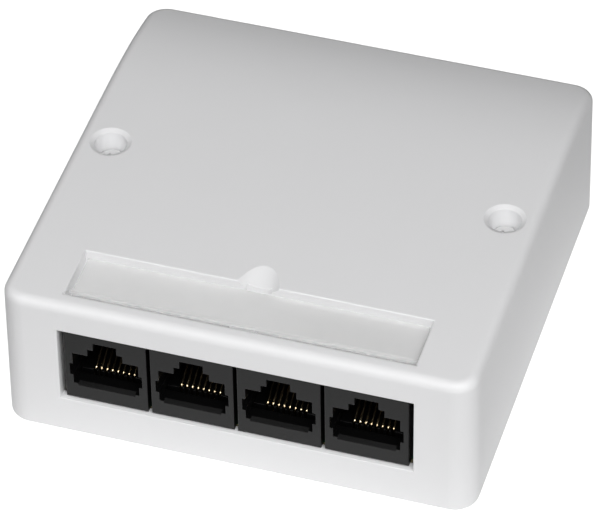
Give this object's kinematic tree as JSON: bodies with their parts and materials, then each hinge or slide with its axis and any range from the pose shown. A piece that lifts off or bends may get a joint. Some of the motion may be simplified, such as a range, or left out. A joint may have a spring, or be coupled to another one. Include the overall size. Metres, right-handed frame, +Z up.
{
  "type": "surface mount data outlet box",
  "caption": "Square white surface-mount data outlet box with a row of modular jacks in one side, a label window and two screws on the tilt-off cover.",
  "frame": {"origin": "centre of the face that lies on the wall", "axes": "+Z out from the wall, -Y the way the ports face, +X to the right when looking at the ports with +Z up"},
  "size_m": [0.086, 0.086, 0.03],
  "materials": {
    "cover_plastic": "fine satin",
    "base_plastic": "satin",
    "board_laminate": "solder resist",
    "screw_steel": "zinc plated",
    "screw_white": "white painted head",
    "window_plastic": "clear, polished",
    "card_paper": "uncoated",
    "jack_plastic": "satin",
    "contact_gold": "gold plated",
    "idc_plastic": "satin",
    "idc_metal": "tinned bronze"
  },
  "bodies": {
    "base": {"base_plate": "base_plastic", "circuit_board": "board_laminate", "board_screws": "screw_steel", "jack_housing_1": "jack_plastic", "jack_insert_1": "jack_plastic", "jack_contacts_1": "contact_gold", "idc_block_1": "idc_plastic", "idc_contacts_1": "idc_metal", "jack_housing_2": "jack_plastic", "jack_insert_2": "jack_plastic", "jack_contacts_2": "contact_gold", "idc_block_2": "idc_plastic", "idc_contacts_2": "idc_metal", "jack_housing_3": "jack_plastic", "jack_insert_3": "jack_plastic", "jack_contacts_3": "contact_gold", "idc_block_3": "idc_plastic", "idc_contacts_3": "idc_metal", "jack_housing_4": "jack_plastic", "jack_insert_4": "jack_plastic", "jack_contacts_4": "contact_gold", "idc_block_4": "idc_plastic", "idc_contacts_4": "idc_metal"},
    "cover": {"top_cover": "cover_plastic", "label_card": "card_paper"},
    "label_flap": {"label_window": "window_plastic"},
    "screw_left": {"cover_screw_left": "screw_white"},
    "screw_right": {"cover_screw_right": "screw_white"}
  },
  "joints": [
    {"name": "cover_tilt", "type": "hinge", "parent": "base", "child": "cover", "pos_m": [0, -0.0425, 0.0005], "axis": [1, 0, 0], "range_deg": [0, 90]},
    {"name": "label_window_turn", "type": "hinge", "parent": "cover", "child": "label_flap", "pos_m": [0, -0.03655, 0.02785], "axis": [1, 0, 0], "range_deg": [0, 95]},
    {"name": "cover_screw_left_out", "type": "slide", "parent": "cover", "child": "screw_left", "axis": [0, 0, 1], "range_m": [0, 0.028]},
    {"name": "cover_screw_right_out", "type": "slide", "parent": "cover", "child": "screw_right", "axis": [0, 0, 1], "range_m": [0, 0.028]}
  ]
}
